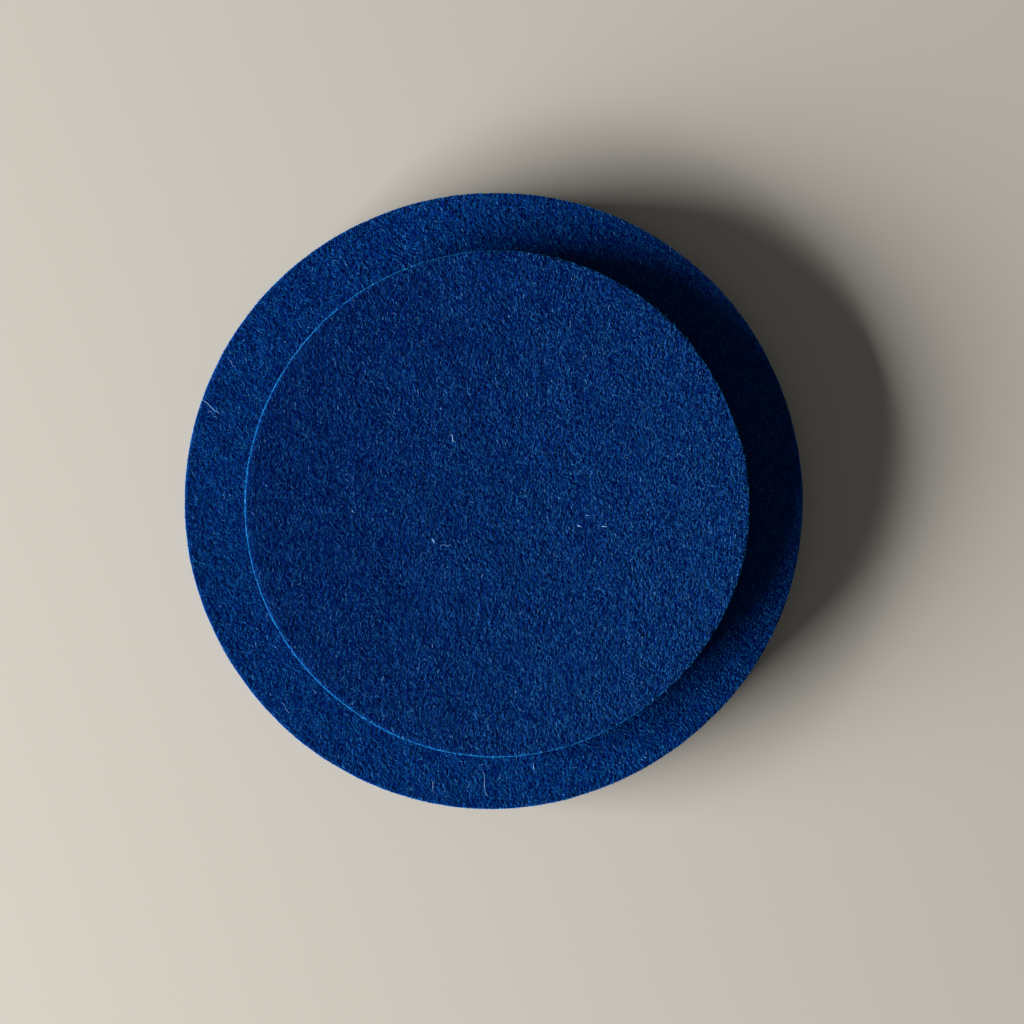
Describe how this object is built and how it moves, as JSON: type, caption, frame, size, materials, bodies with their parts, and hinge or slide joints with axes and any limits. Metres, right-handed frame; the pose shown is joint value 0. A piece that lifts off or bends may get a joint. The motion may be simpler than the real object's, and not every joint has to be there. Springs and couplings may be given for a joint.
{
  "type": "felt trivet",
  "caption": "Round dark blue wool felt trivet: a smaller felt disc lies loose on a larger, thicker one, to stand hot pots on and keep the table from heat and scratches.",
  "frame": {"origin": "middle of the large disc's underside, on the table", "axes": "+Z up from the table; seen from straight above, +X points right and +Y up in the picture"},
  "size_m": [0.25, 0.25, 0.0153],
  "materials": {
    "large_disc_felt": "dense navy wool felt, short nap, blade-cut edge",
    "small_disc_felt": "dense navy wool felt, short nap, blade-cut edge rolled over at the top"
  },
  "bodies": {
    "large_disc": {"large_felt_disc": "large_disc_felt"},
    "small_disc": {"small_felt_disc": "small_disc_felt"}
  },
  "joints": [
    {"name": "small_disc_lift", "type": "slide", "parent": "large_disc", "child": "small_disc", "axis": [0, 0, 1], "range_m": [0, 0.06]}
  ]
}
